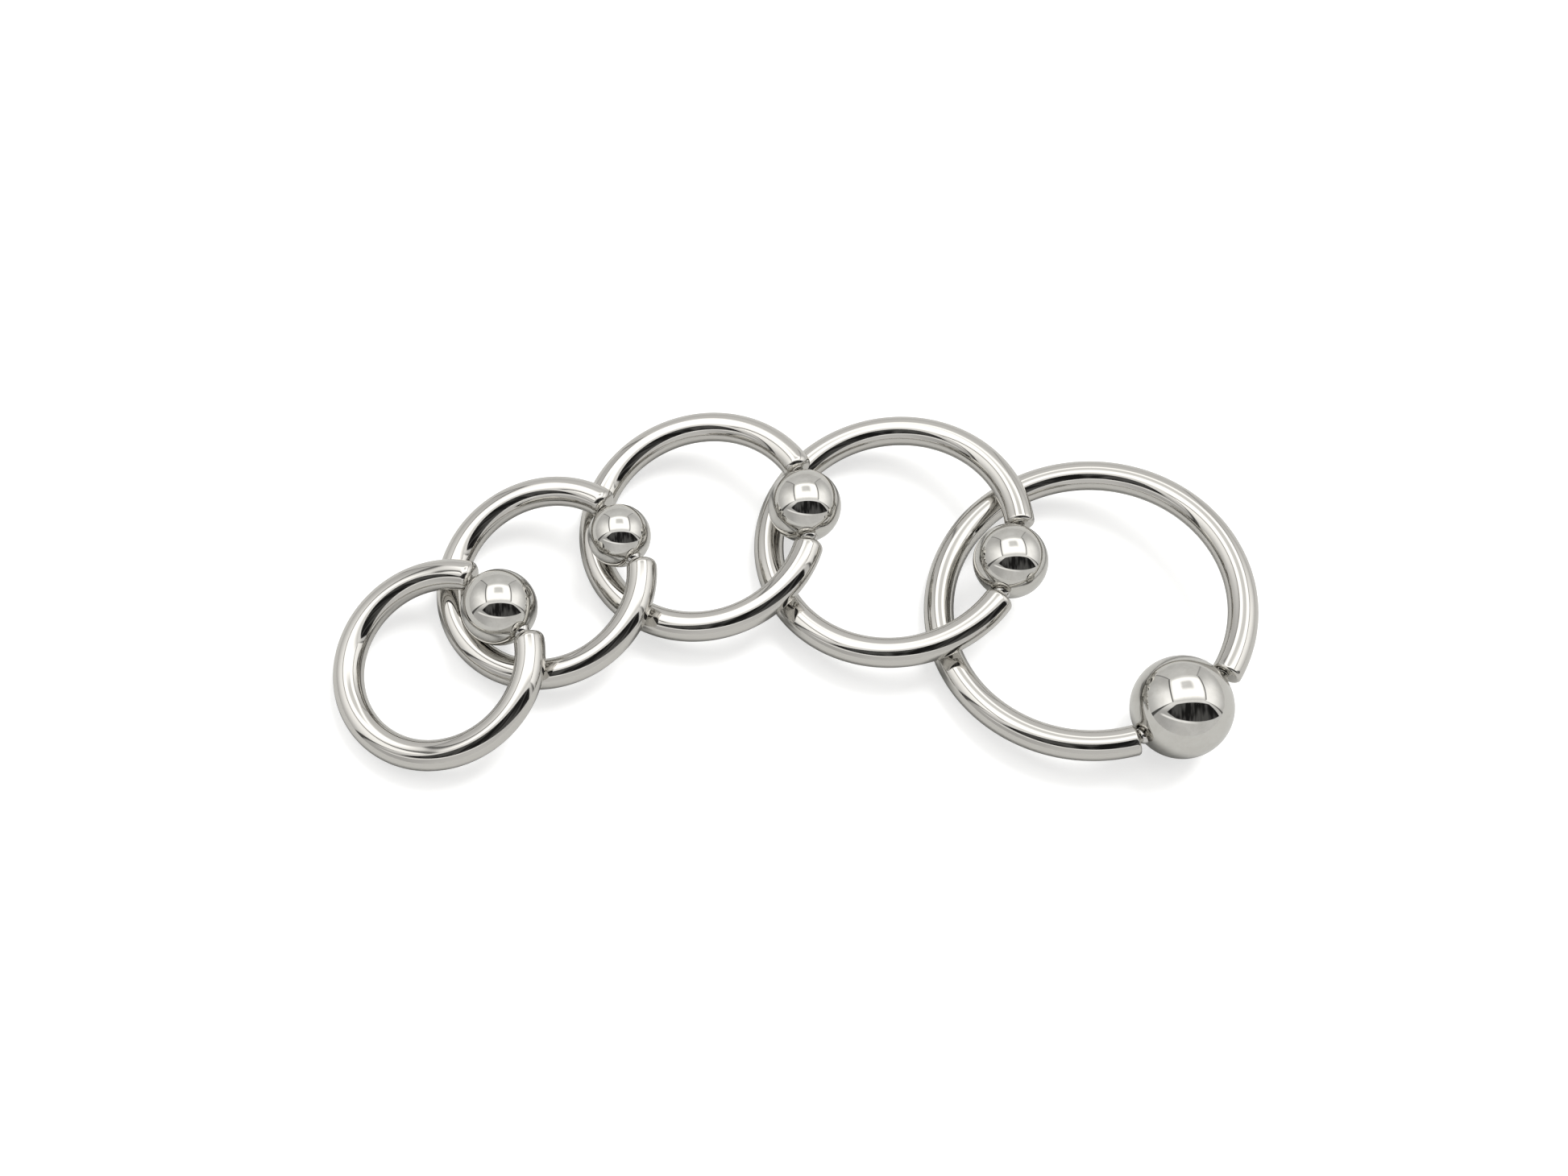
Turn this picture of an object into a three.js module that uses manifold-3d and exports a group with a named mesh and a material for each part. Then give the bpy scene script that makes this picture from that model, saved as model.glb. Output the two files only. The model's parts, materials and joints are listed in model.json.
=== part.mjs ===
// Five captive bead rings of one heavy wire gauge, laid out in a row on a table.
// Each ring is an open hoop of round wire. A bead with a hole right through it fills the gap:
// a coil spring in the hole pushes two small balls out into dimples in the wire's ends.
// Every ring lies with one side on the table and the other on the next ring of the row.
// Millimetres, +Z up, the row along X, the largest ring at +X.

import * as THREE from 'three';
import { mergeVertices } from 'three/addons/utils/BufferGeometryUtils.js';
import Module from 'manifold-3d';

// ---- Driving dimensions -------------------------------------------------------------------

const WIRE_DIAMETER = 4.0;
const BEAD_CLEARANCE = 0.2; // between the bead and the rounded edge of a wire end

const DETENT_BALL_DIAMETER = 2.4;
const BORE_CLEARANCE = 0.1; // across the hole through the bead, so that the balls run in it
const MOUTH_CLOSING = 0.1; // how much narrower than a ball the hole's mouths are, to hold it
const MOUTH_TAPER = 0.3; // length over which the hole closes in to its mouth
const MOUTH_GAP = 0.03; // between a ball and the mouth's edge
const DIMPLE_CLEARANCE = 0.12; // round a ball in the wire's dimple
const DIMPLE_LEAST_DEPTH = 0.25;

const SPRING_WIRE_DIAMETER = 0.3;
const SPRING_CLEARANCE = 0.4; // across the hole, round the spring
const SPRING_PITCH = 1.0; // of the open turns, before rounding to whole turns
const SPRING_END_PITCH = 0.36; // of the closed turn at each end
const SPRING_END_GAP = 0.05; // between the spring and the ball that it pushes

const RING_TO_RING_GAP = 0.2; // where one ring lies on the next

// Each ring: its inner diameter, its bead's diameter, the radius that rounds off the wire's
// ends, how far the bead sits inside the line between them, and the direction of the bead from
// the ring's centre. Then the direction of the next ring's centre, and how far the two rings'
// outer edges overlap, both seen from above. The last ring has no next one: it leans on its
// own bead and rises towards `uphill`.
const RINGS = [
  {
    letter: 'A', innerDiameter: 20.6, beadDiameter: 10.0, endRounding: 1.0,
    beadInset: 0.3, beadDirection: 37.5, nextDirection: 38.0, overlap: 11.3,
  },
  {
    letter: 'B', innerDiameter: 22.0, beadDiameter: 8.4, endRounding: 1.0,
    beadInset: 0.7, beadDirection: 25.6, nextDirection: 18.7, overlap: 9.6,
  },
  {
    letter: 'C', innerDiameter: 26.0, beadDiameter: 9.8, endRounding: 1.0,
    beadInset: 0, beadDirection: 2.0, nextDirection: -8.5, overlap: 10.2,
  },
  {
    letter: 'D', innerDiameter: 30.0, beadDiameter: 10.0, endRounding: 0.7,
    beadInset: 0, beadDirection: -21.2, nextDirection: -25.4, overlap: 13.4,
  },
  {
    letter: 'E', innerDiameter: 36.0, beadDiameter: 13.4, endRounding: 0.4,
    beadInset: 0, beadDirection: -59.4, uphill: -5.7,
  },
];

// ---- Fineness of the facets ---------------------------------------------------------------

const WIRE_SIDES = 12;
const HOOP_STEPS = 38;
const BEAD_SIDES = 20; // the balls have as many, so that they slide in the hole
const BEAD_ARC_STEPS = 12;
const BALL_ARC_STEPS = 7;
const SPRING_SIDES = 5;
const SPRING_STEPS_PER_TURN = 8;
const ROUNDING_STEPS = 3;
const SLIVER = 0.002; // millimetres: what a cut leaves that is smaller is smoothed away

// ---- Sizes that follow --------------------------------------------------------------------

const wireRadius = WIRE_DIAMETER / 2;
const ballRadius = DETENT_BALL_DIAMETER / 2;
const boreRadius = (DETENT_BALL_DIAMETER + BORE_CLEARANCE) / 2;
const mouthRadius = (DETENT_BALL_DIAMETER - MOUTH_CLOSING) / 2;
const springRadius = boreRadius - (SPRING_CLEARANCE + SPRING_WIRE_DIAMETER) / 2;

const { degToRad } = THREE.MathUtils;

const polishedSteel = (name, color, roughness) =>
  new THREE.MeshStandardMaterial({ name, color, roughness, metalness: 1 });
const wireSteel = polishedSteel('wire_steel', 0xc9c7c1, 0.06);
const beadSteel = polishedSteel('bead_steel', 0xcfcdc8, 0.04);
const ballSteel = polishedSteel('ball_steel', 0xd6d5d2, 0.05);
const springSteel = polishedSteel('spring_steel', 0x8f8d88, 0.3);

const wasm = await Module();
wasm.setup();

// Halves a span until it has the value at which `tooSmall` turns false.
function bisect(low, high, tooSmall) {
  for (let i = 0; i < 32; i += 1) {
    const middle = (low + high) / 2;
    if (tooSmall(middle)) low = middle;
    else high = middle;
  }
  return high;
}

// Narrows a span round the lowest value of `height`, which falls and then rises.
function lowest(low, high, height) {
  for (let i = 0; i < 32; i += 1) {
    const third = (high - low) / 3;
    if (height(low + third) > height(high - third)) low += third;
    else high -= third;
  }
  return (low + high) / 2;
}

// ---- Fitting a bead into its ring -----------------------------------------------------------
// In a ring's own frame the hoop lies in the XY plane round the origin, with its gap at +X.
// The bead stands in the gap and its hole runs along Y.

function fitRing(ring) {
  const hoopRadius = (ring.innerDiameter + WIRE_DIAMETER) / 2;
  const beadRadius = ring.beadDiameter / 2;
  // The ends stand as near the bead as their rounded inner edges allow.
  const rounding = ring.endRounding;
  const faceRadius = wireRadius - rounding;
  const halfGap = bisect(0.01, 1.3, (angle) => {
    const [sin, cos] = [Math.sin(angle), Math.cos(angle)];
    const along = (hoopRadius - faceRadius) * sin + rounding * cos;
    const across = faceRadius * cos + rounding * sin - ring.beadInset;
    return Math.hypot(along, across) - rounding < beadRadius + BEAD_CLEARANCE;
  });
  const beadReach = hoopRadius * Math.cos(halfGap) - ring.beadInset;
  const mouthDistance = Math.sqrt(beadRadius ** 2 - mouthRadius ** 2);
  const ballSetback = Math.sqrt(ballRadius ** 2 - mouthRadius ** 2) + MOUTH_GAP;
  const ballDistance = mouthDistance - ballSetback;
  return { ...ring, hoopRadius, beadRadius, halfGap, beadReach, mouthDistance, ballDistance };
}

// ---- Laying the rings down ------------------------------------------------------------------

// The frame of a ring whose centre lies over `place` and whose plane rises by `tilt` towards
// the direction `uphill`, with the lowest point of its wire on the table.
function poseOf(ring, place, uphill, tilt) {
  const rise = new THREE.Vector3(Math.cos(uphill), Math.sin(uphill), Math.tan(tilt)).normalize();
  const level = new THREE.Vector3(-Math.sin(uphill), Math.cos(uphill), 0);
  const turn = degToRad(ring.beadDirection) - uphill;
  const toBead = rise.clone().multiplyScalar(Math.cos(turn)).addScaledVector(level, Math.sin(turn));
  const normal = rise.clone().cross(level);
  const across = normal.clone().cross(toBead);
  const height = wireRadius + ring.hoopRadius * Math.sin(tilt);
  return new THREE.Matrix4()
    .makeBasis(toBead, across, normal)
    .setPosition(place.x, place.y, height);
}

// True while a ring in `pose` cuts into, or lies under, the ring `below` it.
function liesTooLow(ring, pose, below) {
  const intoBelow = below.pose.clone().invert().multiply(pose);
  const cuts = (point, reach) => {
    const sideways = Math.hypot(point.x, point.y) - below.hoopRadius;
    return Math.abs(sideways) < reach && point.z < Math.sqrt(reach ** 2 - sideways ** 2);
  };
  const bead = new THREE.Vector3(ring.beadReach, 0, 0).applyMatrix4(intoBelow);
  const beadStandsBy = Math.hypot(Math.hypot(bead.x, bead.y) - below.hoopRadius, bead.z);
  if (beadStandsBy < ring.beadRadius + wireRadius + RING_TO_RING_GAP) return true;
  const wirePoint = new THREE.Vector3();
  for (let degrees = 0; degrees < 360; degrees += 1) {
    const angle = degToRad(degrees);
    wirePoint.set(Math.cos(angle), Math.sin(angle), 0).multiplyScalar(ring.hoopRadius);
    if (cuts(wirePoint.applyMatrix4(intoBelow), WIRE_DIAMETER + RING_TO_RING_GAP)) return true;
  }
  return false;
}

// The last ring stands on its wire and its bead. Its tilt lifts the bead's centre to the
// bead's own radius.
function layOnOwnBead(ring) {
  const place = new THREE.Vector2(0, 0);
  const uphill = degToRad(ring.uphill);
  const tilt = bisect(0, 0.8, (angle) => {
    const bead = new THREE.Vector3(ring.beadReach, 0, 0);
    return bead.applyMatrix4(poseOf(ring, place, uphill, angle)).z < ring.beadRadius;
  });
  return { ...ring, place, pose: poseOf(ring, place, uphill, tilt) };
}

// Any other ring turns until it lies as flat as it can: it then touches the ring below at
// both of their crossings.
function layOnRing(ring, below) {
  const towardsNext = degToRad(ring.nextDirection);
  const apart = ring.hoopRadius + below.hoopRadius + WIRE_DIAMETER - ring.overlap;
  const toNext = new THREE.Vector2(Math.cos(towardsNext), Math.sin(towardsNext));
  const place = below.place.clone().addScaledVector(toNext, -apart);
  const tiltOf = (uphill) =>
    bisect(0, 0.8, (tilt) => liesTooLow(ring, poseOf(ring, place, uphill, tilt), below));
  const uphill = lowest(towardsNext - 0.9, towardsNext + 0.9, tiltOf);
  return { ...ring, place, pose: poseOf(ring, place, uphill, tiltOf(uphill)) };
}

// ---- Shapes ---------------------------------------------------------------------------------

const circle = (radius, sides) =>
  Array.from({ length: sides }, (_, i) => {
    const angle = (2 * Math.PI * i) / sides;
    return new THREE.Vector2(radius * Math.cos(angle), radius * Math.sin(angle));
  });

// Points of an arc round the origin, from one angle to another, in a lathe's half plane.
const arc = (radius, from, to, steps) =>
  Array.from({ length: steps + 1 }, (_, i) => {
    const angle = from + ((to - from) * i) / steps;
    return new THREE.Vector2(radius * Math.cos(angle), radius * Math.sin(angle));
  });

class WirePath extends THREE.Curve {
  constructor(pointAt) {
    super();
    this.pointAt = pointAt;
  }

  getPoint(t, target = new THREE.Vector3()) {
    return target.copy(this.pointAt(t));
  }
}

const wireAlong = (pointAt, radius, sides, steps) =>
  new THREE.ExtrudeGeometry(new THREE.Shape(circle(radius, sides)), {
    extrudePath: new WirePath(pointAt),
    steps,
  });

function toSolid(geometry) {
  const bare = geometry.clone().deleteAttribute('normal').deleteAttribute('uv');
  const merged = mergeVertices(bare, 1e-4);
  return new wasm.Manifold(
    new wasm.Mesh({
      numProp: 3,
      vertProperties: Float32Array.from(merged.attributes.position.array),
      triVerts: Uint32Array.from(merged.index.array),
    }),
  );
}

function toGeometry(solid) {
  const mesh = solid.getMesh();
  const geometry = new THREE.BufferGeometry();
  geometry.setAttribute('position', new THREE.BufferAttribute(mesh.vertProperties, 3));
  geometry.setIndex(new THREE.BufferAttribute(mesh.triVerts, 1));
  geometry.computeVertexNormals();
  return geometry;
}

// What rounds off one end of the wire: all that lies outside a quarter round. Its first and
// last slopes run on past the face and past the wire's side.
function roundingCutter(ring, side) {
  const rounding = ring.endRounding;
  const quarter = arc(rounding, -Math.PI / 2, 0, ROUNDING_STEPS).map(
    (point) => point.add(new THREE.Vector2(wireRadius - rounding, rounding)),
  );
  const inside = quarter[0].clone().lerp(quarter[1], -0.5);
  const beyond = quarter.at(-1).clone().lerp(quarter.at(-2), -1);
  const corner = new THREE.Vector2(beyond.x, inside.y);
  const profile = [inside, corner, beyond, ...quarter.slice(1, -1).reverse(), inside.clone()];
  const cutter = new THREE.LatheGeometry(profile, WIRE_SIDES);
  if (side < 0) cutter.rotateX(Math.PI);
  return cutter.translate(ring.hoopRadius, 0, 0).rotateZ(side * ring.halfGap);
}

// The dimple in one wire end, round the ball that sits in it.
function dimpleCutter(ring, side) {
  const radius = ballRadius + DIMPLE_CLEARANCE;
  const faceDistance = ring.beadReach * Math.tan(ring.halfGap);
  const leastDistance = faceDistance + DIMPLE_LEAST_DEPTH - radius;
  const distance = Math.max(ring.ballDistance, leastDistance);
  return new THREE.SphereGeometry(radius, 14, 9).translate(ring.beadReach, side * distance, 0);
}

function hoopGeometry(ring) {
  const sweep = 2 * (Math.PI - ring.halfGap);
  const pointAt = (t) => {
    const angle = ring.halfGap + sweep * t;
    return new THREE.Vector3(Math.cos(angle), Math.sin(angle), 0).multiplyScalar(ring.hoopRadius);
  };
  let solid = toSolid(wireAlong(pointAt, wireRadius, WIRE_SIDES, HOOP_STEPS));
  for (const side of [1, -1]) {
    solid = solid.subtract(toSolid(roundingCutter(ring, side)));
    solid = solid.subtract(toSolid(dimpleCutter(ring, side)));
  }
  return toGeometry(solid.simplify(SLIVER));
}

function beadGeometry(ring) {
  const { beadRadius, mouthDistance } = ring;
  const edge = Math.asin(mouthDistance / beadRadius);
  const taperDistance = mouthDistance - MOUTH_TAPER;
  const profile = [
    ...arc(beadRadius, -edge, edge, BEAD_ARC_STEPS),
    new THREE.Vector2(boreRadius, taperDistance),
    new THREE.Vector2(boreRadius, -taperDistance),
  ];
  profile.push(profile[0].clone());
  return new THREE.LatheGeometry(profile, BEAD_SIDES).translate(ring.beadReach, 0, 0);
}

function ballGeometry(ring, side) {
  const profile = arc(ballRadius, -Math.PI / 2, Math.PI / 2, BALL_ARC_STEPS);
  profile[0].x = 0;
  profile.at(-1).x = 0;
  const ball = new THREE.LatheGeometry(profile, BEAD_SIDES);
  return ball.translate(ring.beadReach, side * ring.ballDistance, 0);
}

// A compression spring with a closed turn at each end, held between the two balls.
function springGeometry(ring) {
  const touching = ballRadius + SPRING_WIRE_DIAMETER / 2 + SPRING_END_GAP;
  const halfLength = ring.ballDistance - Math.sqrt(touching ** 2 - springRadius ** 2);
  const openLength = 2 * (halfLength - SPRING_END_PITCH);
  const openTurns = Math.max(1, Math.round(openLength / SPRING_PITCH));
  const turns = openTurns + 2;
  const heightAt = (turn) => {
    if (turn < 1) return -halfLength + turn * SPRING_END_PITCH;
    if (turn > turns - 1) return halfLength - (turns - turn) * SPRING_END_PITCH;
    return openLength * ((turn - 1) / openTurns - 0.5);
  };
  const pointAt = (t) => {
    const angle = 2 * Math.PI * turns * t;
    const x = ring.beadReach + springRadius * Math.cos(angle);
    return new THREE.Vector3(x, heightAt(turns * t), springRadius * Math.sin(angle));
  };
  const steps = turns * SPRING_STEPS_PER_TURN;
  return wireAlong(pointAt, SPRING_WIRE_DIAMETER / 2, SPRING_SIDES, steps);
}

// ---- Assembly -------------------------------------------------------------------------------

function namedMesh(name, geometry, material) {
  const mesh = new THREE.Mesh(geometry, material);
  mesh.name = name;
  return mesh;
}

// One ring with its bead, seen from the hoop's centre: the left ball is on the +Y side.
function ringAssembly(ring) {
  const { letter } = ring;
  const assembly = new THREE.Group();
  assembly.add(
    namedMesh(`ring_${letter}`, hoopGeometry(ring), wireSteel),
    namedMesh(`bead_${letter}`, beadGeometry(ring), beadSteel),
    namedMesh(`spring_${letter}`, springGeometry(ring), springSteel),
    namedMesh(`detent_ball_${letter}_left`, ballGeometry(ring, 1), ballSteel),
    namedMesh(`detent_ball_${letter}_right`, ballGeometry(ring, -1), ballSteel),
  );
  assembly.applyMatrix4(ring.pose);
  return assembly;
}

const group = new THREE.Group();
let below = null;
for (const ring of RINGS.map(fitRing).reverse()) {
  below = below ? layOnRing(ring, below) : layOnOwnBead(ring);
  group.add(ringAssembly(below));
}

// The origin is under the middle of the row, on the table.
group.updateMatrixWorld(true);
const box = new THREE.Box3().setFromObject(group, true);
const middle = box.getCenter(new THREE.Vector3());
group.position.set(-middle.x, -middle.y, -box.min.z);

export default group;
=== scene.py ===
"""Five captive bead rings of polished steel wire, laid out in a row on white paper."""

import json
import math

import bpy
import numpy as np
from mathutils import Matrix, Vector


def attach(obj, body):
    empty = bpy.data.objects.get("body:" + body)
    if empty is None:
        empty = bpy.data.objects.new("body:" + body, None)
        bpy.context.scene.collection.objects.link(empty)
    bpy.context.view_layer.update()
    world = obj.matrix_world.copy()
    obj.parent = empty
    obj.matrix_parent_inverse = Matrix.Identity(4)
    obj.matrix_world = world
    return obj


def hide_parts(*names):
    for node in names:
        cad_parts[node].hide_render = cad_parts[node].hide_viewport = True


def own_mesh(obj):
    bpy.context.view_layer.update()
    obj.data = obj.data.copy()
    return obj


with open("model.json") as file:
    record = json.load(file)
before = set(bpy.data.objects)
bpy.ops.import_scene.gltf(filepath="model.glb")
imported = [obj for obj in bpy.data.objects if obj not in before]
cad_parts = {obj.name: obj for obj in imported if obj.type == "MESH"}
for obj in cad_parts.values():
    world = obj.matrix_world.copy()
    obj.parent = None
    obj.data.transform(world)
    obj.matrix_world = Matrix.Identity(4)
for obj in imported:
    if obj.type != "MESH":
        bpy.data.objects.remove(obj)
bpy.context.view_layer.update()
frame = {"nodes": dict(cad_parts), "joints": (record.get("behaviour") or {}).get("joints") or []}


# ---- Camera ---------------------------------------------------------------------------------
# It stands in front of the row, a little to the left and a forearm's length away. It looks
# down on the row steeply, and leans over by a few degrees.

camera_azimuth = math.radians(-9.38)
camera_elevation = math.radians(63.05)
camera_distance = 0.2738
camera_roll = math.radians(5.0)
looks_at = Vector((-0.0009, 0.0029, 0.0))

towards_camera = Vector((
    math.sin(camera_azimuth) * math.cos(camera_elevation),
    -math.cos(camera_azimuth) * math.cos(camera_elevation),
    math.sin(camera_elevation),
))
camera_data = bpy.data.cameras.new("camera")
camera_data.sensor_width = 36.0
camera_data.lens = 46.40
camera_data.clip_start = 0.01
camera = bpy.data.objects.new("camera", camera_data)
bpy.context.scene.collection.objects.link(camera)
camera.rotation_mode = "QUATERNION"
camera.location = looks_at + towards_camera * camera_distance
upright = (-towards_camera).to_track_quat("-Z", "Y")
camera.rotation_quaternion = upright @ Matrix.Rotation(camera_roll, 3, "Z").to_quaternion()
bpy.context.scene.camera = camera
bpy.context.scene.view_settings.view_transform = "Standard"


# ---- Light tent -----------------------------------------------------------------------------
# A white cloth box stands round the row: a lamp panel in its roof, lit side walls, a grey
# back wall, seams with dark piping, and an open front that the dark room shows through.
# All of it is far away, so it is painted on the sky, and only the steel mirrors it.

tent = bpy.data.worlds.new("light_tent")
bpy.context.scene.world = tent
tent.use_nodes = True
sky = tent.node_tree
sky.nodes.clear()


def add_node(tree, kind, settings=None, **inputs):
    """A node with its settings and inputs. An input is a value or another node's output.

    An input is named as the node names it, or by its number: i0, i1 and so on.
    """
    node = tree.nodes.new(kind)
    for name, value in (settings or {}).items():
        setattr(node, name, value)
    for name, value in inputs.items():
        by_number = name[0] == "i" and name[1:].isdigit()
        socket = node.inputs[int(name[1:]) if by_number else name]
        if isinstance(value, bpy.types.NodeSocket):
            tree.links.new(value, socket)
        else:
            socket.default_value = value
    return node


def maths(tree, operation, *values):
    """The result of one step of arithmetic on values or other nodes' outputs."""
    inputs = {f"i{i}": value for i, value in enumerate(values)}
    return add_node(tree, "ShaderNodeMath", {"operation": operation}, **inputs).outputs[0]


def ramp_up(tree, value, low, high):
    """0 below `low`, 1 above `high`, and smooth between."""
    node = add_node(
        tree, "ShaderNodeMapRange", {"interpolation_type": "SMOOTHSTEP"},
        i0=value, i1=low, i2=high, i3=0.0, i4=1.0,
    )
    return node.outputs[0]


direction = add_node(sky, "ShaderNodeTexCoord").outputs["Generated"]


def beyond(normal, softness=0.012, offset=0.0):
    """1 for the directions past a plane through the row, on the side that its normal points to."""
    dot = add_node(
        sky, "ShaderNodeVectorMath", {"operation": "DOT_PRODUCT"},
        i0=direction, i1=Vector(normal).normalized(),
    ).outputs["Value"]
    return ramp_up(sky, dot, offset - softness, offset + softness)


def all_of(*masks):
    """1 where every mask is 1."""
    result = masks[0]
    for mask in masks[1:]:
        result = maths(sky, "MULTIPLY", result, mask)
    return result


def strip(normal, half_width, softness=0.006, offset=0.0):
    """A line of piping along the edge of a plane."""
    return all_of(
        beyond(normal, softness, offset - half_width),
        maths(sky, "SUBTRACT", 1.0, beyond(normal, softness, offset + half_width)),
    )


def paint(under, mask, brightness):
    """Covers what is under a mask with an even brightness."""
    return add_node(
        sky, "ShaderNodeMix", {"data_type": "FLOAT"}, i0=mask, i2=under, i3=brightness,
    ).outputs[0]


# The roof is one unit up. These are where its edges are, in those units, from over the row,
# and the edges of the lamp panel in it and of the cover under the lamp's middle.
roof_left, roof_right, roof_front, roof_back = -0.66, 0.84, -0.15, 1.22
lamp_left, lamp_right, lamp_front, lamp_back = -0.585, 0.745, -0.05, 1.00
cover_left, cover_right, cover_front, cover_back = -0.17, 0.31, 0.30, 0.74
left_corner, right_corner = 0.56, 0.62  # where the back wall ends, to a unit of depth
left_front_seam = (0.145, -0.754, -0.012)
right_front_seam = (-0.178, -0.711, 0.0)
roof_glow, lamp_glow, cover_glow = 0.95, 1.95, 0.98
spill_glow, hem_glow, wedge_glow = 1.10, 1.30, 0.10

height_in_sky = add_node(sky, "ShaderNodeSeparateXYZ", i0=direction).outputs["Z"]


def roof_area(left, right, front, back, softness=0.012, front_softness=0.012):
    """1 inside a four-sided patch of the roof."""
    return all_of(
        beyond((1, 0, -left), softness), beyond((-1, 0, right), softness),
        beyond((0, 1, -front), front_softness), beyond((0, -1, back), softness),
        beyond((0, 0, 1)),
    )


def wall_glow(sideways, low, high, dim, bright):
    """The brightness of a side wall. It is brightest high up and straight to the side."""
    patch = all_of(
        ramp_up(sky, height_in_sky, low, high), beyond((sideways, -0.80, 0), 0.30, 0.22),
    )
    return maths(sky, "MULTIPLY_ADD", patch, bright - dim, dim)


left_wall = all_of(beyond((-1, 0, roof_left), 0.01), beyond((-1, -left_corner, 0), 0.01))
right_wall = all_of(beyond((1, 0, -roof_right), 0.01), beyond((1, -right_corner, 0), 0.01))
in_front = all_of(
    beyond(left_front_seam), beyond(right_front_seam), beyond((0, -1, roof_front), 0.03),
)
back_wall = maths(sky, "MULTIPLY_ADD", ramp_up(sky, height_in_sky, 0.0, 0.6), 0.10, 0.72)
brightness = paint(back_wall, left_wall, wall_glow(-1, 0.0, 1.0, 0.66, 1.72))
brightness = paint(brightness, right_wall, wall_glow(1, 0.0, 0.65, 0.70, 1.50))
brightness = paint(brightness, roof_area(roof_left, roof_right, roof_front, roof_back), roof_glow)
brightness = paint(
    brightness, roof_area(lamp_left, lamp_right, lamp_front, lamp_back, 0.07, 0.10), lamp_glow,
)
brightness = paint(
    brightness, roof_area(cover_left, cover_right, cover_front, cover_back, 0.08, 0.10),
    cover_glow,
)

# Piping along the roof's sides, down the back corners, and down the front corners.
beside_roof = all_of(
    beyond((0, 1, -roof_front)), beyond((0, -1, roof_back + 0.03)), beyond((0, 0, 1)),
)
under_roof = all_of(beyond((0, 1, -roof_back)), beyond((0, 1, 0)))
for edge, half_width, along, dark in (
    ((1, 0.05, -roof_left), 0.024, beside_roof, 0.20),
    ((1, 0, -roof_right), 0.023, beside_roof, 0.25),
    ((1, left_corner, 0), 0.016, under_roof, 0.28),
    ((1, -right_corner, 0), 0.014, under_roof, 0.42),
):
    brightness = paint(brightness, all_of(along, strip(edge, half_width, 0.014)), dark)

# In front of the roof the cloth hangs down to the table, and it is lit by the lamp's edge.
front_cloth = maths(sky, "MULTIPLY_ADD", beyond((-1, 0.2, 0), 0.25, 0.35), -0.18, 0.76)
brightness = paint(brightness, in_front, front_cloth)
lamp_spill = all_of(in_front, beyond((0, 1, 0.42), 0.14), beyond((0, 0, 1), 0.1, 0.45))
brightness = paint(brightness, lamp_spill, spill_glow)

# Between the hanging cloth and each side wall, the seam opens into a narrow dark wedge.
for upper, lower, side in (
    ((0.105, -0.755, -0.042), (0.195, -0.757, 0.024), beyond((-1, 0, roof_left))),
    ((-0.150, -0.690, -0.020), (-0.196, -0.711, 0.016), beyond((1, 0, -roof_right))),
):
    past_seam = maths(sky, "SUBTRACT", 1.0, beyond(lower, 0.022))
    brightness = paint(brightness, all_of(side, beyond(upper, 0.016), past_seam), wedge_glow)

# The way in: an opening like an almond, with a bright hem under it and a dim room behind.
under_way_in = (0.079, 0.307, 0.431)
way_in = all_of(
    beyond((0, -1, 0), 0.012, 0.240),
    beyond((0.447, -0.894, -0.018), 0.012),
    beyond((-0.377, -0.923, 0.073), 0.012),
    beyond((0.155, 0.169, 0.328), 0.016),
    beyond(under_way_in, 0.012),
)
hem = all_of(
    beyond((0, -1, 0), 0.08, 0.36), beyond((-1, 0, 0), 0.35, -0.15),
    strip(under_way_in, 0.034, 0.026, -0.050),
)
room_streaks = add_node(
    sky, "ShaderNodeTexNoise", Scale=5.0, Detail=2.0,
    Vector=add_node(sky, "ShaderNodeMapping", Vector=direction, Scale=(1.0, 0.2, 0.25)).outputs[0],
).outputs[0]
room = maths(sky, "MULTIPLY_ADD", ramp_up(sky, room_streaks, 0.42, 0.62), 0.09, 0.016)
brightness = paint(brightness, hem, hem_glow)
brightness = paint(brightness, way_in, room)

# The cloth hangs in slack folds, so no wall of the tent is quite even.
slack = add_node(sky, "ShaderNodeTexNoise", Vector=direction, Scale=3.2, Detail=3.0, Distortion=0.8)
brightness = maths(
    sky, "MULTIPLY", brightness, maths(sky, "MULTIPLY_ADD", slack.outputs[0], 0.22, 0.89),
)

# Seen directly, past the edge of the paper, the sky is as white as the paper.
tent_cloth = add_node(
    sky, "ShaderNodeBackground", Color=(1.0, 0.995, 0.985, 1.0), Strength=brightness,
)
bare_white = add_node(
    sky, "ShaderNodeBackground", Color=(1.0, 1.0, 1.0, 1.0), Strength=1.0,
)
seen_directly = add_node(sky, "ShaderNodeLightPath").outputs["Is Camera Ray"]
sky_shader = add_node(
    sky, "ShaderNodeMixShader",
    i0=seen_directly, i1=tent_cloth.outputs[0], i2=bare_white.outputs[0],
)
add_node(sky, "ShaderNodeOutputWorld", Surface=sky_shader.outputs[0])


# ---- Key light ------------------------------------------------------------------------------
# A wide soft lamp outside the cloth, behind the row and to the right. It throws the soft
# shadows towards the front and the left, and the cloth hides it from the steel.

key_light_data = bpy.data.lights.new("key_light", "SUN")
key_light_data.energy = 3.0
key_light_data.angle = math.radians(30)
key_light = bpy.data.objects.new("key_light", key_light_data)
bpy.context.scene.collection.objects.link(key_light)
key_light.rotation_mode = "QUATERNION"
key_light.rotation_quaternion = Vector((0.60, 0.56, 1.10)).to_track_quat("Z", "Y")
key_light.visible_glossy = False


# ---- White paper ----------------------------------------------------------------------------
# The row lies on a wide sheet of matt white paper, with a faint tooth. The bare paper is
# overexposed to a plain white where it is seen directly, and the steel mirrors it as a grey.

paper_reach = 4.0
paper_grey = 0.49
paper_overexposure = 0.60
tooth_depth = 0.0001

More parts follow.
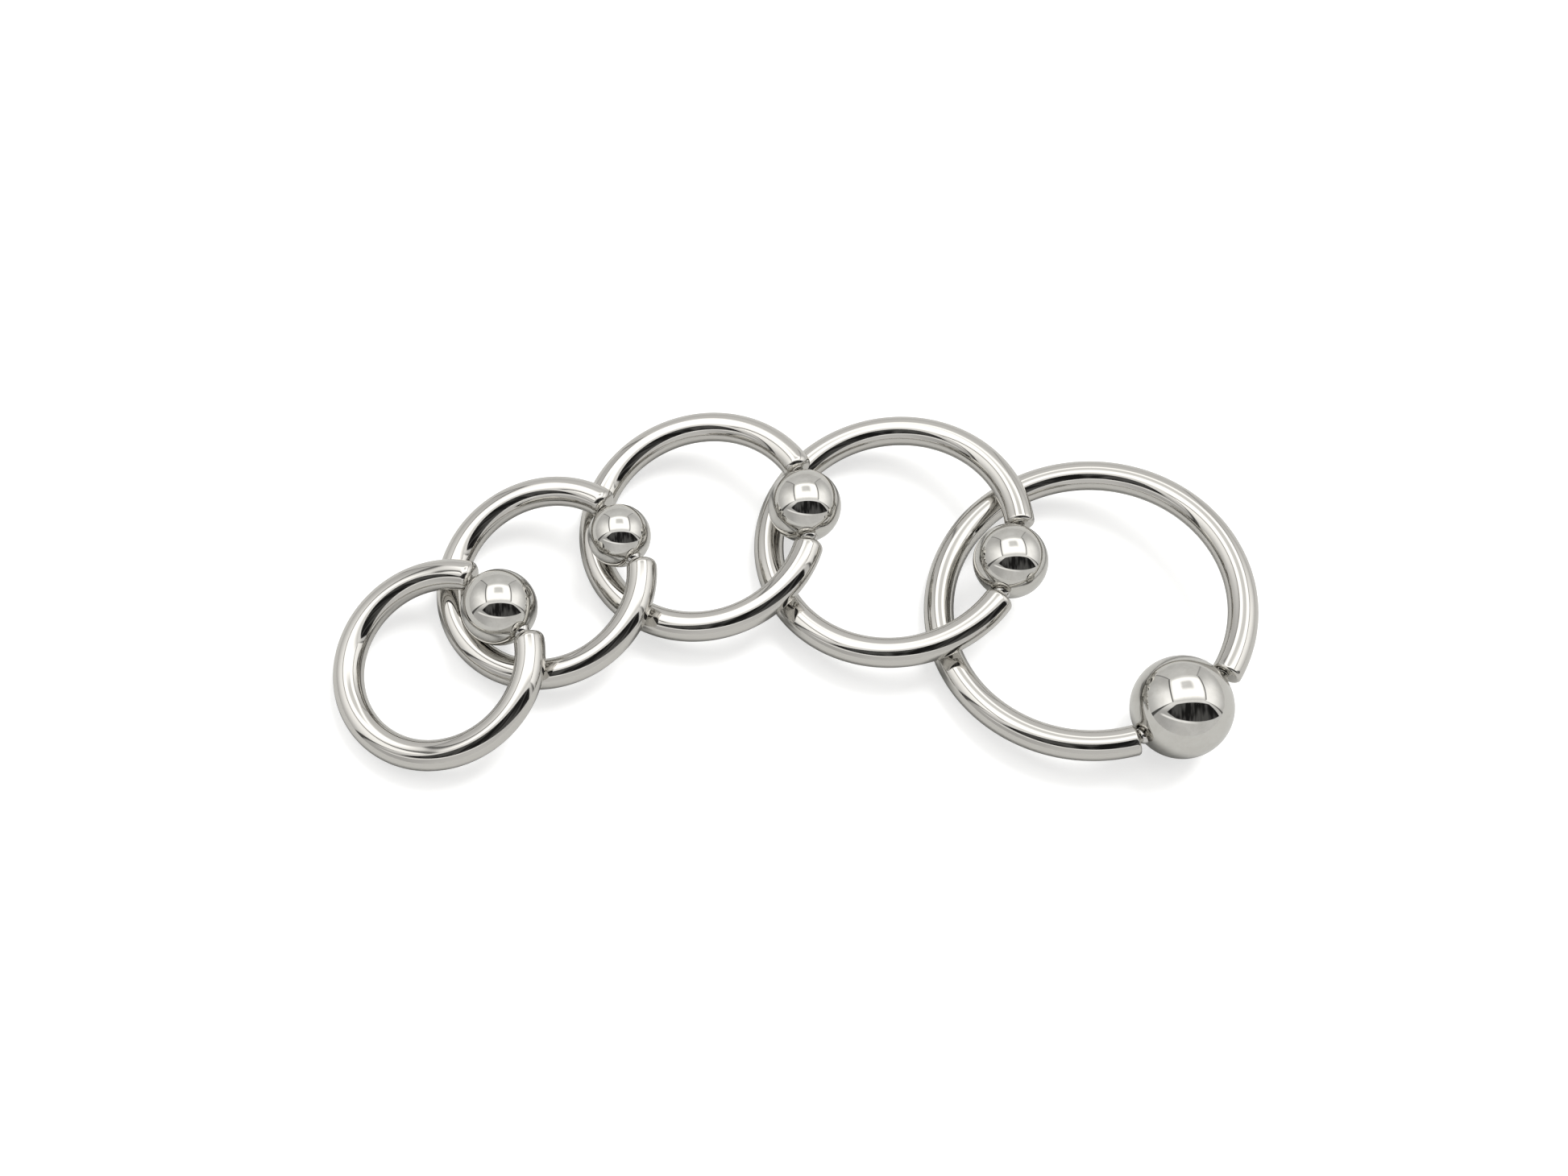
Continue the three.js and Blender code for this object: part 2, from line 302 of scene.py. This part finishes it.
paper_mesh = bpy.data.meshes.new("paper")
paper_mesh.from_pydata(
    [(x * paper_reach, y * paper_reach, 0.0) for x, y in ((-1, -1), (1, -1), (1, 1), (-1, 1))],
    [], [(0, 1, 2, 3)],
)
paper = bpy.data.objects.new("paper", paper_mesh)
bpy.context.scene.collection.objects.link(paper)

paper_white = bpy.data.materials.new("paper_white")
paper_white.use_nodes = True
tree = paper_white.node_tree
shader = tree.nodes["Principled BSDF"]
seen_directly = add_node(tree, "ShaderNodeLightPath").outputs["Is Camera Ray"]
shader.inputs["Base Color"].default_value = (paper_grey, paper_grey, paper_grey * 0.985, 1.0)
shader.inputs["Emission Color"].default_value = (1.0, 1.0, 1.0, 1.0)
overexposure = maths(tree, "MULTIPLY", seen_directly, paper_overexposure)
tree.links.new(overexposure, shader.inputs["Emission Strength"])
shader.inputs["Roughness"].default_value = 0.9
shader.inputs["Specular IOR Level"].default_value = 0.1
tooth = add_node(
    tree, "ShaderNodeTexNoise", Scale=900.0, Detail=3.0,
    Vector=add_node(tree, "ShaderNodeTexCoord").outputs["Object"],
)
tooth_bump = add_node(
    tree, "ShaderNodeBump", Strength=0.15, Distance=tooth_depth, Height=tooth.outputs[0],
)
tree.links.new(tooth_bump.outputs[0], shader.inputs["Normal"])
paper_mesh.materials.append(paper_white)


# ---- Rings ----------------------------------------------------------------------------------
# Each is a length of round stainless wire bent to an open hoop and mirror polished. Its ends
# are rounded off, and a shallow round seat is sunk in each for a detent ball.

wire_radius = 0.0020
seat_clearance = 0.00012
seat_least_depth = 0.00025
hoop_steps = 216
wire_sides = 56
wire_crease = math.radians(34)

inner_diameters = {"A": 0.0206, "B": 0.0220, "C": 0.0260, "D": 0.0300, "E": 0.0360}
end_roundings = {"A": 0.0010, "B": 0.0010, "C": 0.0010, "D": 0.0007, "E": 0.0004}
bead_diameters = {"A": 0.0100, "B": 0.0084, "C": 0.0098, "D": 0.0100, "E": 0.0134}
ball_radius = 0.0012
mouth_radius = 0.00115
mouth_gap = 0.00003


def ring_place(letter):
    """Where a ring's bead is, which ways its parts face, and how wide its gap is."""
    spin = next(j for j in frame["joints"] if j["name"] == f"spin_bead_{letter}")
    bead_centre = np.array(spin["pos_m"])
    along_bore = np.array(spin["axis"])
    cad = frame["nodes"][f"ring_{letter}"].data
    corners = np.array([v.co for v in cad.vertices])
    flattest = np.linalg.svd(corners - corners.mean(0), full_matrices=False)[2][2]
    normal = flattest - flattest.dot(along_bore) * along_bore
    normal /= np.linalg.norm(normal) * np.sign(normal[2])
    to_bead = np.cross(along_bore, normal)
    axes = np.array([to_bead, along_bore, normal])
    local = (corners - bead_centre) @ axes.T
    hoop_radius = inner_diameters[letter] / 2 + wire_radius
    reach = -local[:, 0].min() - hoop_radius - wire_radius
    half_gap = np.abs(np.arctan2(local[:, 1], local[:, 0] + reach)).min()
    bead_radius = bead_diameters[letter] / 2
    ball_setback = math.sqrt(ball_radius**2 - mouth_radius**2) + mouth_gap
    ball_distance = math.sqrt(bead_radius**2 - mouth_radius**2) - ball_setback
    return {
        "axes": axes, "bead_centre": bead_centre, "reach": reach, "half_gap": half_gap,
        "hoop_radius": hoop_radius, "bead_radius": bead_radius, "ball_distance": ball_distance,
    }


places = {letter: ring_place(letter) for letter in inner_diameters}


def new_piece(name, points, faces, grain, place):
    """A smooth mesh whose points are given round the bead's centre, and follow the bore.

    `grain` is a point in the steel's own measure, in metres, for marks that follow the work.
    """
    mesh = bpy.data.meshes.new(name)
    mesh.from_pydata((points @ place["axes"] + place["bead_centre"]).tolist(), [], faces)
    mesh.attributes.new("grain", "FLOAT_VECTOR", "POINT").data.foreach_set(
        "vector", np.asarray(grain, dtype=np.float32).ravel(),
    )
    mesh.validate()
    mesh.update()
    mesh.shade_smooth()
    piece = bpy.data.objects.new(name, mesh)
    bpy.context.scene.collection.objects.link(piece)
    return piece


def tube_faces(rows, sides, closed=False):
    """Four-sided faces between rows of points. A closed tube's last row joins its first."""
    return [
        (
            row * sides + side,
            row * sides + (side + 1) % sides,
            (row + 1) % rows * sides + (side + 1) % sides,
            (row + 1) % rows * sides + side,
        )
        for row in range(rows if closed else rows - 1)
        for side in range(sides)
    ]


def make_hoop(letter):
    """The open hoop of one ring, as rows of points from the middle of one end to the other."""
    place = places[letter]
    hoop_radius, half_gap = place["hoop_radius"], place["half_gap"]
    rounding = end_roundings[letter]
    face_radius = wire_radius - rounding

    # From the middle of the cut face, over its rounded edge, to the side of the wire: how far
    # back from the face each row is, and its radius.
    rows = [(0.0, face_radius * share) for share in (0.3, 0.7)]
    for step in range(15):
        angle = math.pi / 2 * step / 14
        rows.append((
            rounding * (1 - math.cos(angle)), face_radius + rounding * math.sin(angle),
        ))
    last_turn = rounding / hoop_radius
    sections = [(half_gap + back / hoop_radius, radius) for back, radius in rows]
    first, last = half_gap + last_turn, 2 * math.pi - half_gap - last_turn
    sections += [
        (first + (last - first) * step / hoop_steps, wire_radius)
        for step in range(1, hoop_steps)
    ]
    sections += [
        (2 * math.pi - half_gap - back / hoop_radius, radius) for back, radius in rows[::-1]
    ]

    around = np.arange(wire_sides) * 2 * math.pi / wire_sides
    points, grain = [], []
    for angle, radius in sections:
        outward = hoop_radius + radius * np.cos(around)
        points.append(np.stack([
            outward * math.cos(angle) - place["reach"],
            outward * math.sin(angle),
            radius * np.sin(around),
        ], 1))
        grain.append(np.stack([
            radius * np.cos(around), radius * np.sin(around),
            np.full(wire_sides, hoop_radius * angle),
        ], 1))
    ends = [
        [hoop_radius * math.cos(turn) - place["reach"], hoop_radius * math.sin(turn), 0.0]
        for turn in (half_gap, 2 * math.pi - half_gap)
    ]
    points = np.concatenate(points + [np.array(ends)])
    grain = np.concatenate(grain + [np.array([
        [0.0, 0.0, hoop_radius * half_gap], [0.0, 0.0, hoop_radius * (2 * math.pi - half_gap)],
    ])])
    faces = [face[::-1] for face in tube_faces(len(sections), wire_sides)]
    first_middle, last_middle = len(points) - 2, len(points) - 1
    last_row = (len(sections) - 1) * wire_sides
    for side in range(wire_sides):
        after = (side + 1) % wire_sides
        faces.append((first_middle, side, after))
        faces.append((last_middle, last_row + after, last_row + side))
    return new_piece(f"polished_ring_{letter}", points, faces, grain, place)


def drill_seat(hoop, letter, side):
    """Cuts the round seat for one detent ball out of the wire's end."""
    place = places[letter]
    radius = ball_radius + seat_clearance
    face_distance = place["reach"] * math.tan(place["half_gap"])
    distance = max(place["ball_distance"], face_distance + seat_least_depth - radius)
    rows, sides = 24, 48
    lift = np.linspace(-math.pi / 2, math.pi / 2, rows + 1)[1:-1]
    turn = np.arange(sides) * 2 * math.pi / sides
    points = [
        [radius * math.cos(a) * math.cos(b), side * distance + radius * math.sin(a),
         radius * math.cos(a) * math.sin(b)]
        for a in lift for b in turn
    ]
    points += [[0.0, side * distance - radius, 0.0], [0.0, side * distance + radius, 0.0]]
    faces = [face[::-1] for face in tube_faces(len(lift), sides)]
    low, high = len(points) - 2, len(points) - 1
    for i in range(sides):
        after = (i + 1) % sides
        faces.append((low, i, after))
        faces.append((high, (len(lift) - 1) * sides + after, (len(lift) - 1) * sides + i))
    points = np.array(points)
    cutter = new_piece("seat_cutter", points, faces, points, place)
    cut = hoop.modifiers.new("seat", "BOOLEAN")
    cut.operation, cut.solver, cut.object = "DIFFERENCE", "EXACT", cutter
    apply_modifiers(hoop)
    bpy.data.objects.remove(cutter)


def apply_modifiers(piece):
    """Writes a piece's modifiers into its mesh."""
    shown = piece.evaluated_get(bpy.context.evaluated_depsgraph_get())
    mesh = bpy.data.meshes.new_from_object(shown)
    mesh.name = piece.data.name
    piece.modifiers.clear()
    piece.data = mesh


def build_polish_marks():
    """What polishing and handling leave on steel, for a point in the steel's own measure.

    Haze is a roughness, Tint a slight change of colour, and Relief the height of the waves and
    hair scratches, from 0 to 1.
    """
    group = bpy.data.node_groups.new("polish_marks", "ShaderNodeTree")
    for name, kind, value in (
        ("Place", "NodeSocketVector", None),
        ("Least Haze", "NodeSocketFloat", 0.03),
        ("Most Haze", "NodeSocketFloat", 0.08),
        ("Scratches", "NodeSocketFloat", 0.3),
        ("Steel", "NodeSocketColor", (0.6, 0.58, 0.55, 1.0)),
        ("Worn Steel", "NodeSocketColor", (0.5, 0.49, 0.46, 1.0)),
    ):
        socket = group.interface.new_socket(name, in_out="INPUT", socket_type=kind)
        if value is not None:
            socket.default_value = value
    for name, kind in (
        ("Haze", "NodeSocketFloat"), ("Tint", "NodeSocketColor"), ("Relief", "NodeSocketFloat"),
    ):
        group.interface.new_socket(name, in_out="OUTPUT", socket_type=kind)
    given = add_node(group, "NodeGroupInput").outputs
    put_out = add_node(group, "NodeGroupOutput").inputs

    smears = add_node(
        group, "ShaderNodeTexNoise", Vector=given["Place"], Scale=420.0, Detail=5.0,
        Roughness=0.62, Distortion=0.6,
    ).outputs[0]
    haze_share = ramp_up(group, smears, 0.38, 0.68)
    haze = add_node(
        group, "ShaderNodeMix", {"data_type": "FLOAT"},
        i0=haze_share, i2=given["Least Haze"], i3=given["Most Haze"],
    ).outputs[0]

    # Hair scratches are where a much stretched noise crosses its middle value.
    def scratch_set(turn, scale, thinness):
        turned = add_node(
            group, "ShaderNodeMapping", {"vector_type": "POINT"},
            Vector=given["Place"], Rotation=turn, Scale=(1.0, 1.0, 0.06),
        ).outputs[0]
        noise = add_node(
            group, "ShaderNodeTexNoise", Vector=turned, Scale=scale, Detail=2.0,
        ).outputs[0]
        off_middle = maths(group, "ABSOLUTE", maths(group, "SUBTRACT", noise, 0.5))
        return maths(group, "SUBTRACT", 1.0, ramp_up(group, off_middle, 0.0, thinness))

    scratches = maths(
        group, "MAXIMUM",
        scratch_set((0.0, 0.0, 0.0), 2600.0, 0.010),
        scratch_set((0.7, 0.35, 1.1), 1700.0, 0.006),
    )
    patches = add_node(
        group, "ShaderNodeTexNoise", Vector=given["Place"], Scale=190.0, Detail=2.0,
    ).outputs[0]
    scratches = maths(group, "MULTIPLY", scratches, ramp_up(group, patches, 0.46, 0.66))
    scratches = maths(group, "MULTIPLY", scratches, given["Scratches"])

    tint = add_node(
        group, "ShaderNodeMix", {"data_type": "RGBA"},
        i0=maths(group, "MULTIPLY", haze_share, 0.45), i6=given["Steel"], i7=given["Worn Steel"],
    ).outputs[2]
    tint = add_node(
        group, "ShaderNodeMix", {"data_type": "RGBA"},
        i0=maths(group, "MULTIPLY", scratches, 0.35), i6=tint, i7=given["Worn Steel"],
    ).outputs[2]
    waves = add_node(
        group, "ShaderNodeTexNoise", Vector=given["Place"], Scale=210.0, Detail=1.5,
    ).outputs[0]
    relief = maths(group, "SUBTRACT", waves, maths(group, "MULTIPLY", scratches, 0.03))
    haze = maths(group, "ADD", haze, maths(group, "MULTIPLY", scratches, 0.10))

    group.links.new(haze, put_out["Haze"])
    group.links.new(tint, put_out["Tint"])
    group.links.new(relief, put_out["Relief"])
    return group


polish_marks = build_polish_marks()


def steel(name, place_scale, waviness, **values):
    """A polished steel. `place_scale` stretches its marks, and `waviness` is how deep the
    waves in the surface are, in metres."""
    material = bpy.data.materials.new(name)
    material.use_nodes = True
    tree = material.node_tree
    shader = tree.nodes["Principled BSDF"]
    shader.inputs["Metallic"].default_value = 1.0
    place = add_node(
        tree, "ShaderNodeAttribute", {"attribute_type": "GEOMETRY", "attribute_name": "grain"},
    ).outputs["Vector"]
    stretched = add_node(tree, "ShaderNodeMapping", Vector=place, Scale=place_scale).outputs[0]
    marks = tree.nodes.new("ShaderNodeGroup")
    marks.node_tree = polish_marks
    tree.links.new(stretched, marks.inputs["Place"])
    for socket, value in values.items():
        marks.inputs[socket.replace("_", " ")].default_value = value
    bump = add_node(
        tree, "ShaderNodeBump", Strength=1.0, Distance=waviness, Height=marks.outputs["Relief"],
    )
    tree.links.new(marks.outputs["Tint"], shader.inputs["Base Color"])
    tree.links.new(marks.outputs["Haze"], shader.inputs["Roughness"])
    tree.links.new(bump.outputs[0], shader.inputs["Normal"])
    return material


polished_wire = steel(
    "polished_wire", (1.0, 1.0, 0.22), 0.000012,
    Least_Haze=0.035, Most_Haze=0.085, Scratches=0.8,
    Steel=(0.615, 0.600, 0.570, 1.0), Worn_Steel=(0.50, 0.485, 0.45, 1.0),
)

for letter in places:
    hoop = make_hoop(letter)
    drill_seat(hoop, letter, 1)
    drill_seat(hoop, letter, -1)
    hoop.data.set_sharp_from_angle(angle=wire_crease)
    hoop.data.materials.clear()
    hoop.data.materials.append(polished_wire)
    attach(hoop, f"ring_{letter}_body")
    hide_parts(f"ring_{letter}")


# ---- Closure beads --------------------------------------------------------------------------
# A steel ball drilled right through and mirror polished. Both mouths of the hole are closed
# in a little with a punch, so that the detent balls can't fall out.

bore_radius = 0.00125
mouth_taper = 0.0003
mouth_round = 0.00006
bead_rows = 84
bead_sides = 112
mouth_crease = math.radians(40)


def lathe(name, profile, sides, place):
    """Turns a closed profile of (radius, distance along the bore) round the bore."""
    around = np.arange(sides) * 2 * math.pi / sides
    profile = np.array(profile)
    points = np.stack([
        np.outer(profile[:, 0], np.cos(around)),
        np.repeat(profile[:, 1:2], sides, 1),
        np.outer(profile[:, 0], np.sin(around)),
    ], 2).reshape(-1, 3)
    return new_piece(name, points, tube_faces(len(profile), sides, closed=True), points, place)


polished_bead = steel(
    "polished_bead", (1.0, 1.0, 1.0), 0.0000035,
    Least_Haze=0.022, Most_Haze=0.055, Scratches=0.5,
    Steel=(0.630, 0.620, 0.590, 1.0), Worn_Steel=(0.53, 0.515, 0.48, 1.0),
)

for letter, place in places.items():
    bead_radius = place["bead_radius"]
    mouth_distance = math.sqrt(bead_radius**2 - mouth_radius**2)
    lip_angle = math.atan2(mouth_distance, mouth_radius + mouth_round)
    profile = [
        (bead_radius * math.cos(angle), bead_radius * math.sin(angle))
        for angle in np.linspace(-lip_angle, lip_angle, bead_rows)
    ]
    taper_start = mouth_distance - mouth_taper
    inside = [
        (mouth_radius + mouth_round * 0.3, mouth_distance - mouth_round * 0.1),
        (mouth_radius, mouth_distance - mouth_round * 0.35),
        (bore_radius, taper_start),
        (bore_radius, taper_start * 0.5),
    ]
    profile += inside + [(radius, -distance) for radius, distance in inside[::-1]]
    bead = lathe(f"polished_bead_{letter}", profile, bead_sides, place)
    bead.data.set_sharp_from_angle(angle=mouth_crease)
    bead.data.materials.append(polished_bead)
    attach(bead, f"bead_{letter}_body")
    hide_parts(f"bead_{letter}")


# ---- Detent balls ---------------------------------------------------------------------------
# Two hard bearing balls in each bead, lapped smooth. Each stands out of its mouth of the hole
# and clicks into the seat in the wire's end.

ball_rows = 28
ball_sides = 48

lapped_ball = steel(
    "lapped_ball", (1.0, 1.0, 1.0), 0.0000006,
    Least_Haze=0.03, Most_Haze=0.07, Scratches=0.4,
    Steel=(0.66, 0.65, 0.63, 1.0), Worn_Steel=(0.55, 0.54, 0.51, 1.0),
)


def make_ball(name, place, side):
    """The ball at one mouth of the bore."""
    around = np.arange(ball_sides) * 2 * math.pi / ball_sides
    lifts = np.linspace(-math.pi / 2, math.pi / 2, ball_rows + 1)[1:-1]
    points = np.concatenate([
        np.stack([
            ball_radius * math.cos(lift) * np.cos(around),
            np.full(ball_sides, ball_radius * math.sin(lift)),
            ball_radius * math.cos(lift) * np.sin(around),
        ], 1)
        for lift in lifts
    ] + [np.array([[0.0, -ball_radius, 0.0], [0.0, ball_radius, 0.0]])])
    faces = tube_faces(len(lifts), ball_sides)
    low, high = len(points) - 2, len(points) - 1
    last_row = (len(lifts) - 1) * ball_sides
    for i in range(ball_sides):
        after = (i + 1) % ball_sides
        faces.append((low, after, i))
        faces.append((high, last_row + i, last_row + after))
    grain = points + np.array([0.0, side * 0.01, 0.0])
    points = points + np.array([0.0, side * place["ball_distance"], 0.0])
    return new_piece(name, points, faces, grain, place)


for letter, place in places.items():
    for side_name, side in (("left", 1), ("right", -1)):
        node = f"detent_ball_{letter}_{side_name}"
        ball = make_ball(f"lapped_{node}", place, side)
        ball.data.materials.append(lapped_ball)
        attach(ball, f"{node}_body")
        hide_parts(node)


# ---- Springs --------------------------------------------------------------------------------
# A short coil spring of drawn wire in each bead's hole, with a closed turn at each end. It
# pushes the two detent balls apart, and is made as two halves, one reaching to each ball.

spring_wire_radius = 0.00015
spring_radius = 0.0009
spring_pitch = 0.0010
spring_end_pitch = 0.00036
spring_end_gap = 0.00005
steps_per_turn = 28
spring_sides = 12
cut_end_crease = math.radians(50)

drawn_spring = steel(
    "drawn_spring", (1.0, 1.0, 0.1), 0.000002,
    Least_Haze=0.18, Most_Haze=0.34, Scratches=1.0,
    Steel=(0.42, 0.41, 0.39, 1.0), Worn_Steel=(0.30, 0.29, 0.27, 1.0),
)


def make_half_spring(name, place, half_length, side):
    """The coil from the middle of the bore to one ball. The halves meet in the same section."""
    open_length = 2 * (half_length - spring_end_pitch)
    open_turns = max(1, round(open_length / spring_pitch))
    turns = open_turns + 2

    def height_at(turn):
        if turn < 1:
            return -half_length + turn * spring_end_pitch
        if turn > turns - 1:
            return half_length - (turns - turn) * spring_end_pitch
        return open_length * ((turn - 1) / open_turns - 0.5)

    half_rows = turns * steps_per_turn // 2
    first_row = half_rows if side > 0 else 0
    around = np.arange(spring_sides) * 2 * math.pi / spring_sides
    points, grain = [], []
    for row in range(first_row, first_row + half_rows + 1):
        turn = row / steps_per_turn
        angle = 2 * math.pi * turn
        outward = spring_radius + spring_wire_radius * np.cos(around)
        points.append(np.stack([
            outward * math.cos(angle),
            height_at(turn) + spring_wire_radius * np.sin(around),
            outward * math.sin(angle),
        ], 1))
        grain.append(np.stack([
            spring_wire_radius * np.cos(around), spring_wire_radius * np.sin(around),
            np.full(spring_sides, spring_radius * angle),
        ], 1))
    faces = tube_faces(half_rows + 1, spring_sides)
    faces.append(tuple(range(spring_sides))[::-1])
    faces.append(tuple(half_rows * spring_sides + corner for corner in range(spring_sides)))
    return new_piece(name, np.concatenate(points), faces, np.concatenate(grain), place)


for letter, place in places.items():
    touching = ball_radius + spring_wire_radius + spring_end_gap
    half_length = place["ball_distance"] - math.sqrt(touching**2 - spring_radius**2)
    for side_name, side in (("left", 1), ("right", -1)):
        spring = make_half_spring(
            f"drawn_spring_{letter}_{side_name}", place, half_length, side,
        )
        spring.data.set_sharp_from_angle(angle=cut_end_crease)
        spring.data.materials.append(drawn_spring)
        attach(spring, f"bead_{letter}_body")
        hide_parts(f"spring_{letter}")
        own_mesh(spring)
